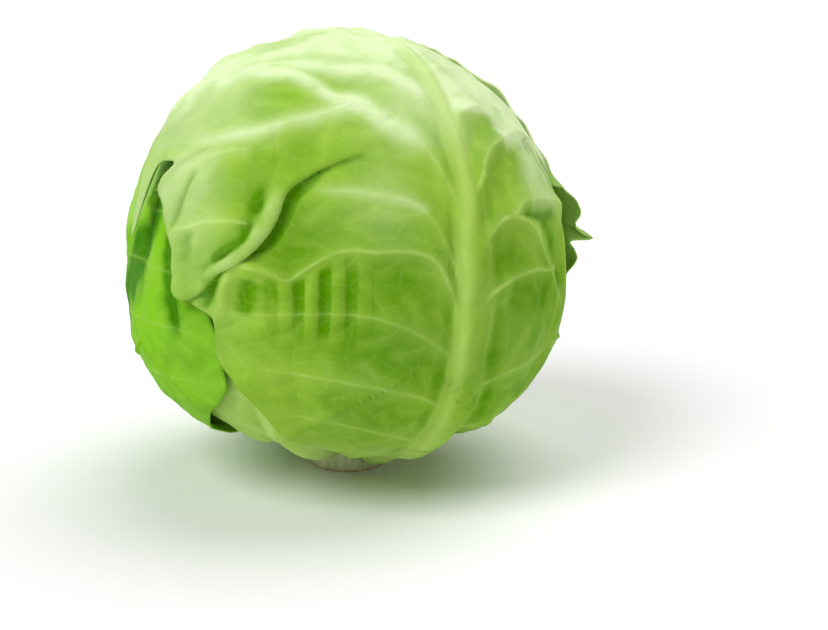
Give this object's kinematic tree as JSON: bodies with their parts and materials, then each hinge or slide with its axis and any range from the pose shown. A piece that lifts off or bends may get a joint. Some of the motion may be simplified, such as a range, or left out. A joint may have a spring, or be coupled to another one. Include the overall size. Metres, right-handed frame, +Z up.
{
  "type": "cabbage head",
  "caption": "Whole head of green cabbage, cut from its root, with overlapping wrapper leaves round a packed heart; it stands on the cut stalk.",
  "frame": {"origin": "centre of the stalk's cut face, on which the head stands", "axes": "+Z up along the stalk, -Y towards the side that shows the large outermost leaf's midrib, +X to the right seen from there"},
  "size_m": [0.191, 0.1822, 0.1808],
  "materials": {
    "stalk": "cut plant stem, pale cream, slightly browned and fibrous on the cut face",
    "heart": "packed pale yellow-green leaf, satin",
    "inner_leaf": "light green leaf with pale raised veins, satin with a faint waxy bloom",
    "outer_leaf": "green leaf, darker between pale raised veins, satin with a faint waxy bloom"
  },
  "bodies": {
    "root": {"stalk": "stalk", "heart": "heart", "leaf_inner_back": "inner_leaf", "leaf_inner_front": "inner_leaf", "leaf_inner_right": "inner_leaf", "leaf_left": "outer_leaf", "leaf_front": "outer_leaf", "leaf_back": "outer_leaf"}
  },
  "joints": []
}
